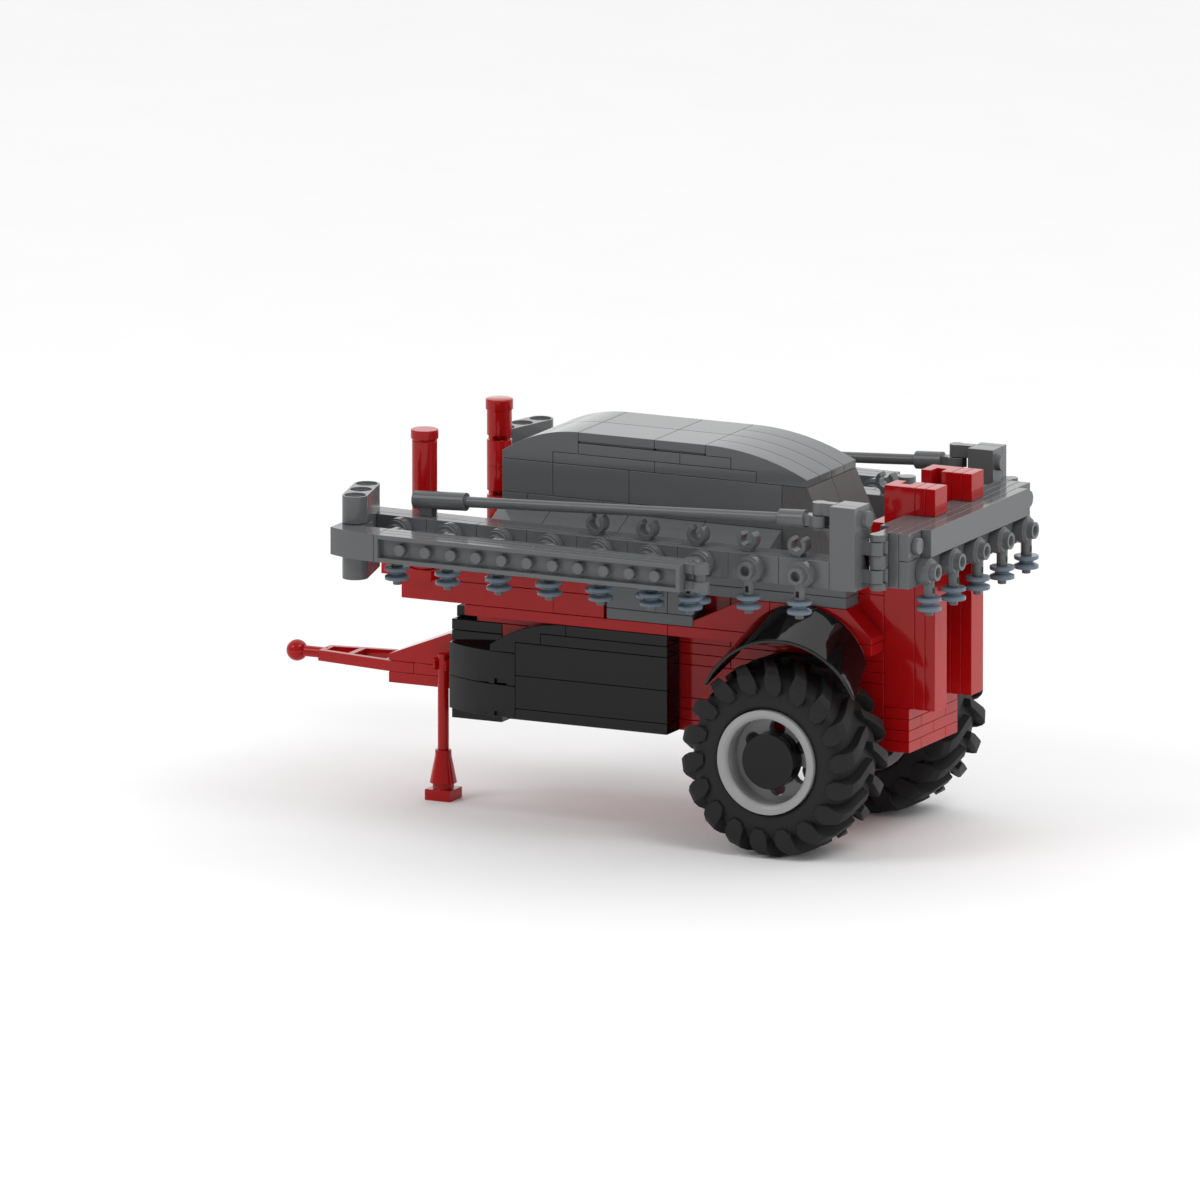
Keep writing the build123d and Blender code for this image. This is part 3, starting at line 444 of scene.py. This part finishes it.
class CartSizes(bpy.types.PropertyGroup):
    """Sizes of the details that the finished cart adds."""

    edge: FloatProperty(
        name="Brick edge", description="Edge radius of the bricks", default=0.16 * MM, unit="LENGTH"
    )
    lugs: IntProperty(name="Tyre lugs", description="Lugs on each side of a tyre", default=18, min=6)
    lug_height: FloatProperty(
        name="Lug height", description="Height of the lugs", default=2.3 * MM, unit="LENGTH"
    )
    lug_width: FloatProperty(
        name="Lug width", description="Width of a lug at its outer end", default=5.4 * MM, unit="LENGTH"
    )


class CartFinish(bpy.types.PropertyGroup):
    """Colours and gloss of the cart's plastics."""

    gloss_roughness: FloatProperty(
        name="Roughness", description="Roughness of the glossy bricks", default=0.08, min=0.0, max=1.0
    )
    red: FloatVectorProperty(
        name="Red", description="Red bricks", subtype="COLOR", default=(0.385, 0.005, 0.006)
    )
    grey: FloatVectorProperty(
        name="Grey", description="Dark grey bricks", subtype="COLOR", default=(0.118, 0.124, 0.128)
    )
    black: FloatVectorProperty(
        name="Black", description="Black bricks", subtype="COLOR", default=(0.0035, 0.0035, 0.004)
    )
    slope: FloatVectorProperty(
        name="Slope", description="Sandy slopes", subtype="COLOR", default=(0.086, 0.082, 0.081)
    )
    ring: FloatVectorProperty(
        name="Ring", description="Nozzle rings", subtype="COLOR", default=(0.135, 0.174, 0.214)
    )
    rim: FloatVectorProperty(
        name="Rim", description="Wheel rims", subtype="COLOR", default=(0.34, 0.34, 0.345)
    )
    tyre: FloatVectorProperty(
        name="Tyre", description="Tyre rubber", subtype="COLOR", default=(0.009, 0.009, 0.0095)
    )


def sizes():
    return bpy.context.scene.cart_sizes


def brick_edge():
    """Edge radius of a plain brick, in mm."""
    return sizes().edge / MM


class CART_OT_red_bricks(bpy.types.Operator):
    """Finish the red bricks of the body, the columns and the drawbar"""

    bl_idname = "cart.red_bricks"
    bl_label = "Red bricks"

    def execute(self, context):
        bricks = ["lower_body", "chassis_core", "platform_plates", "side_panels", "arch_bricks", "tower_core"]
        finish_nodes(bricks + ["columns", "drawbar_bricks"], brick_edge())
        finish_nodes(["drawbar_frame", "jack_clip"], FINE_EDGE)
        return {"FINISHED"}


class CART_OT_grey_bricks(bpy.types.Operator):
    """Finish the dark grey bricks of the deck and the hopper"""

    bl_idname = "cart.grey_bricks"
    bl_label = "Dark grey bricks"

    def execute(self, context):
        hopper = ["hopper_skirts", "hopper_walls", "hopper_steps", "hopper_tiles", "hopper_curves"]
        finish_nodes(["deck_bricks"] + hopper, brick_edge())
        return {"FINISHED"}


class CART_OT_sandy_slopes(bpy.types.Operator):
    """Finish the sandy slope bricks behind the hopper"""

    bl_idname = "cart.sandy_slopes"
    bl_label = "Sandy slopes"

    def execute(self, context):
        finish_nodes(["hopper_rear_slopes"], brick_edge())
        return {"FINISHED"}


class CART_OT_side_tanks(bpy.types.Operator):
    """Finish the black side tanks and the black bricks in front of them"""

    bl_idname = "cart.side_tanks"
    bl_label = "Side tanks"

    def execute(self, context):
        finish_nodes(["tank_bricks", "tank_corners", "front_plates"], brick_edge())
        return {"FINISHED"}


class CART_OT_mudguards(bpy.types.Operator):
    """Finish the two mudguards"""

    bl_idname = "cart.mudguards"
    bl_label = "Mudguards"

    def execute(self, context):
        finish_nodes(both(["mudguard"]), ROUND_EDGE, 3, finish="black_gloss")
        return {"FINISHED"}


class CART_OT_masts(bpy.types.Operator):
    """Finish the two masts"""

    bl_idname = "cart.masts"
    bl_label = "Masts"

    def execute(self, context):
        finish_nodes(["mast_left"], ROUND_EDGE, 3)
        make_stacked_mast()
        return {"FINISHED"}


def make_stacked_mast():
    """Right mast: round bricks on each other, with notched gaps where their tabs meet."""
    low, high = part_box("mast_right")
    foot, top = low.z / MM, high.z / MM
    radius, cap_radius, cap_height = 3.6, (high.y - low.y) / 2 / MM, 3.2
    cap_foot = top - cap_height
    gap_depth, seam_depth = 2.0, 0.25
    tabs, tab_share, tab_turn, tab_inset = 4, 0.3, 0.3, 0.02
    profile = [(0.0, foot), (radius - 0.2, foot), (radius, foot + 0.2)]
    # Each joint between two bricks: its middle's height, half its height, and its depth.
    joints = ((82.4, 0.75, gap_depth), (90.4, 0.06, seam_depth), (98.4, 0.75, gap_depth))
    for middle, half, depth in joints:
        core = radius - depth
        profile += [(radius, middle - half), (core, middle - half + 0.02)]
        profile += [(core, middle + half - 0.02), (radius, middle + half)]
    profile += [(radius, cap_foot - 0.01), (cap_radius - 0.25, cap_foot), (cap_radius, cap_foot + 0.25)]
    profile += [(cap_radius, top - 0.35), (cap_radius - 0.1, top - 0.1), (cap_radius - 0.35, top), (0.0, top)]

    def with_tabs(r, z, step):
        in_gap = any(abs(z - middle) < half and depth == gap_depth for middle, half, depth in joints)
        share = (step * tabs / ROUND_STEPS + tab_turn) % 1
        return radius - tab_inset if r < radius and in_gap and share < tab_share else r

    mast = shaft("mast_right_finished", profile, (low + high) / 2, with_tabs)
    keep_faces_flat(mast)
    settle(mast, node_body("mast_right"), "red_bricks", ["mast_right"])


class CART_OT_jack(bpy.types.Operator):
    """Finish the jack's bar, cone and foot"""

    bl_idname = "cart.jack"
    bl_label = "Jack"

    def execute(self, context):
        finish_nodes(["jack_leg", "jack_bar"], brick_edge())
        return {"FINISHED"}


class CART_OT_centre_boom(bpy.types.Operator):
    """Finish the fixed centre boom and its hinge bars"""

    bl_idname = "cart.centre_boom"
    bl_label = "Centre boom"

    def execute(self, context):
        finish_nodes(["rear_beam", "rear_fascia"], brick_edge())
        finish_nodes(both(["hinge_bar"]), FINE_EDGE)
        return {"FINISHED"}


class CART_OT_folding_booms(bpy.types.Operator):
    """Finish the folding booms, their clips, posts, rods and link arms"""

    bl_idname = "cart.folding_booms"
    bl_label = "Folding booms"

    def execute(self, context):
        finish_nodes(both(["inner_boom_beam", "inner_boom_post", "outer_boom"]), SLIM_EDGE)
        finish_nodes(both(["inner_boom_clips", "stay_rod", "link_arm"]), FINE_EDGE)
        return {"FINISHED"}


class CART_OT_nozzles(bpy.types.Operator):
    """Finish the nozzles and their grooved rings"""

    bl_idname = "cart.nozzles"
    bl_label = "Nozzles"

    def execute(self, context):
        finish_nodes(["rear_nozzles"] + both(["inner_nozzles", "outer_nozzles"]), NOZZLE_EDGE, 1)
        finish_nodes(["rear_pulleys"] + both(["inner_pulleys", "outer_pulleys"]), SLIM_EDGE)
        return {"FINISHED"}


class CART_OT_wheels(bpy.types.Operator):
    """Make the rims, hub caps and axle"""

    bl_idname = "cart.wheels"
    bl_label = "Rims and hubs"

    def execute(self, context):
        for side in SIDES:
            make_rim(side)
        finish_nodes(["wheel_axle"], WHEEL_EDGE, 3)
        finish_nodes(both(["hub_cap"]), ROUND_EDGE, 3)
        return {"FINISHED"}


def make_rim(side):
    """Rim of one wheel: the dished rim with a full, rounded lip on its outer flange."""
    node = f"rim_{side}"
    low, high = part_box(node)
    sign = 1 if side == "left" else -1
    face = (high.y if side == "left" else -low.y) / MM
    outer = (high.z - low.z) / 2 / MM
    # Section of the lip: how far inside the rim's edge, and how far in front of its face.
    section = [
        (0.02, -2.2), (0.02, -0.75), (0.22, -0.25), (0.7, -0.02), (1.5, -0.02),
        (2.2, -0.3), (2.62, -0.9), (2.75, -1.7), (2.75, -2.2),
    ]
    profile = [(outer - inset, sign * (face + proud)) for inset, proud in section]
    lip = linked("lip", lathe("lip", profile))
    lip.data.transform(Matrix.Translation(((low.x + high.x) / 2, 0, (low.z + high.z) / 2)))
    shade_smooth(lip)
    rim = joined(node + "_finished", [rounded_copy(node, WHEEL_EDGE, 3), lip])
    settle(rim, f"wheel_{side}", "rims", [node])


class CART_OT_tyres(bpy.types.Operator):
    """Make the tractor tyres with their two rows of slanted lugs"""

    bl_idname = "cart.tyres"
    bl_label = "Tyres"

    def execute(self, context):
        for side in SIDES:
            make_tyre(side)
        return {"FINISHED"}


def make_tyre(side):
    """Tyre of one wheel: a turned carcass and two rows of lugs, repeated round the axle."""
    low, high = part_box(f"tyre_{side}")
    centre = (low + high) / 2
    outer, half = (high.z - low.z) / 2 / MM, (high.y - low.y) / 2 / MM
    bead, tread = 15.15, outer - sizes().lug_height / MM
    # Left half of the section, from the bead to the middle of the tread.
    flank = [
        (bead, half - 1.9), (bead + 0.25, half - 1.25), (bead + 0.9, half - 0.95), (bead + 1.8, half - 0.85),
        (18.6, half - 0.9), (20.4, half - 1.2), (22.0, half - 1.8), (23.4, half - 2.8),
        (tread - 1.4, half - 4.2), (tread - 0.7, half - 6.0), (tread - 0.25, half - 8.4),
        (tread, half - 11.0),
    ]
    profile = flank + [(radius, -offset) for radius, offset in reversed(flank)]
    carcass = linked(f"carcass_{side}", lathe("carcass", profile))
    shade_smooth(carcass)
    carcass.data.transform(Matrix.Translation(centre))
    rows = []
    for row, sign in enumerate((1, -1)):
        lug = linked(f"lug_{side}_{row}", lug_mesh(outer, half, tread, sign))
        soften(lug, SLIM_EDGE, angle=25.0)
        half_pitch = math.pi / sizes().lugs
        rows.append(repeat_round(lug, sizes().lugs, half_pitch * row, centre, material("tyres")))
    tyre = joined(f"tyre_{side}_finished", [carcass] + rows)
    settle(tyre, f"wheel_{side}", "tyres", [f"tyre_{side}"])


def lug_mesh(outer, half, tread, sign):
    """One lug at the top of the wheel: a slanted bar, wider over the shoulder, with a tapered end."""
    wide = sizes().lug_width / 2 / MM
    shoulder_drop, undercut = 2.0, 1.8
    # Sections across the lug: offset along the axle, outer radius, inner radius, lean and half width.
    sections = [
        (0.3, outer - 0.05, tread - 0.8, 5.0, 1.2),
        (3.2, outer - 0.05, tread - 0.8, 3.6, 1.5),
        (half - 4.6, outer - 0.15, tread - 1.2, 0.4, 1.75),
        (half - 2.0, outer - 0.9, tread - 3.0, -1.2, 1.9),
        (half - 0.6, outer - 2.4, tread - 3.4, -1.9, wide * 0.86),
        (half - 0.1, outer - 4.0, tread - 4.0, -2.2, wide),
        (half - 0.05, outer - 5.9, tread - 5.6, -2.3, wide * 0.94),
        (half - 0.45, outer - 8.4, outer - 8.2, -2.4, wide * 0.44),
    ]
    work = bmesh.new()
    loops = []
    for y, top, low, lean, width in sections:
        near_x, far_x = lean - width, lean + width
        inner_y = y - (undercut if top < outer - shoulder_drop else 0.0)
        corners = [(near_x, y, top), (far_x, y, top), (far_x, inner_y, low), (near_x, inner_y, low)]
        loops.append([
            work.verts.new((x * MM, sign * v * MM, math.sqrt(r * r - x * x) * MM)) for x, v, r in corners
        ])
    for near, far in zip(loops, loops[1:]):
        bridge(work, near, far)
    work.faces.new(loops[0])
    work.faces.new(loops[-1])
    bmesh.ops.recalc_face_normals(work, faces=work.faces)
    return finished_mesh(work, "lug")


class CART_OT_stage(bpy.types.Operator):
    """Make the floor, the lights and the camera"""

    bl_idname = "cart.stage"
    bl_label = "Stage"

    def execute(self, context):
        make_floor()
        make_sky()
        make_lights()
        make_camera()
        return {"FINISHED"}


def make_floor():
    shader = Shader("pale_floor")
    speck = shader.noise(30.0, 3.0)
    base = shader.mix(speck, (0.93, 0.93, 0.93, 1.0), (0.96, 0.96, 0.96, 1.0))
    finish = shader.finish({"Base Color": base, "Roughness": 0.9})
    reach = 6.0
    corners = [(-reach, -reach, 0), (reach, -reach, 0), (reach, reach, 0), (-reach, reach, 0)]
    mesh = bpy.data.meshes.new("floor")
    mesh.from_pydata(corners, [], [(0, 1, 2, 3)])
    mesh.materials.append(finish)
    linked("floor", mesh)


def make_sky():
    """Soft studio surround, brighter on the cart's right than on its left."""
    world = bpy.data.worlds.new("studio")
    bpy.context.scene.world = world
    world.use_nodes = True
    graph = Graph(world.node_tree)
    graph.tree.nodes.clear()
    direction = graph.node("ShaderNodeTexCoord", output="Generated")
    across = graph.node("ShaderNodeSeparateXYZ", inputs={0: direction}, output="Y")
    span = {"Value": across, "From Min": -0.7, "From Max": 0.7, "To Min": 1.3, "To Max": 0.44}
    shade = graph.node("ShaderNodeMapRange", {"interpolation_type": "SMOOTHSTEP"}, span)
    surround = graph.node("ShaderNodeBackground", inputs={"Color": shade, "Strength": 1.0})
    graph.node("ShaderNodeOutputWorld", inputs={"Surface": surround})


def area_light(name, spot, size, power):
    """Square light, in metres and watts, that faces the cart."""
    light = bpy.data.lights.new(name, "AREA")
    light.shape = "SQUARE"
    light.size = size
    light.energy = power
    lamp = bpy.data.objects.new(name, light)
    bpy.context.scene.collection.objects.link(lamp)
    lamp.location = spot
    lamp.rotation_euler = (Vector((0, 0, 50 * MM)) - Vector(spot)).to_track_quat("-Z", "Y").to_euler()


def make_lights():
    area_light("key", (-1.1, 0.5, 1.5), 0.7, 8.0)
    area_light("fill", (1.0, 1.3, 1.4), 0.9, 9.0)


def make_camera():
    """Long-lens camera that looks at the left side and the rear of the cart."""
    lens, sensor = 1000.0, 36.0
    view_width = 0.3405
    azimuth, elevation = math.radians(206.04), math.radians(12.0)
    aim = Vector((11.475 * MM, 0.0, 59.5 * MM))
    level = math.cos(elevation)
    away = Vector((math.sin(azimuth) * level, -math.cos(azimuth) * level, math.sin(elevation)))
    data = bpy.data.cameras.new("camera")
    data.lens, data.sensor_width = lens, sensor
    data.clip_start, data.clip_end = 0.5, 60.0
    camera = bpy.data.objects.new("camera", data)
    bpy.context.scene.collection.objects.link(camera)
    camera.location = aim + away * (view_width * lens / sensor)
    camera.rotation_euler = (-away).to_track_quat("-Z", "Y").to_euler()
    bpy.context.scene.camera = camera
    bpy.context.scene.view_settings.view_transform = "Standard"


class CART_PT_panel(bpy.types.Panel):
    """Sidebar panel with the cart's steps"""

    bl_idname = "CART_PT_panel"
    bl_label = "Grain Cart"
    bl_space_type = "VIEW_3D"
    bl_region_type = "UI"
    bl_category = "Grain Cart"

    def draw(self, context):
        for step in STEPS:
            self.layout.operator(step.bl_idname)


STEPS = (
    CART_OT_red_bricks, CART_OT_grey_bricks, CART_OT_sandy_slopes, CART_OT_side_tanks, CART_OT_mudguards,
    CART_OT_masts, CART_OT_jack, CART_OT_centre_boom, CART_OT_folding_booms, CART_OT_nozzles,
    CART_OT_wheels, CART_OT_tyres, CART_OT_stage,
)
CLASSES = (CartSizes, CartFinish) + STEPS + (CART_PT_panel,)


def register():
    for item in CLASSES:
        bpy.utils.register_class(item)
    bpy.types.Scene.cart_sizes = PointerProperty(type=CartSizes)
    bpy.types.Scene.cart_finish = PointerProperty(type=CartFinish)


def unregister():
    del bpy.types.Scene.cart_finish
    del bpy.types.Scene.cart_sizes
    for item in reversed(CLASSES):
        bpy.utils.unregister_class(item)


def main():
    register()
    for step in STEPS:
        group, name = step.bl_idname.split(".")
        getattr(getattr(bpy.ops, group), name)()


if __name__ == "__main__":
    main()
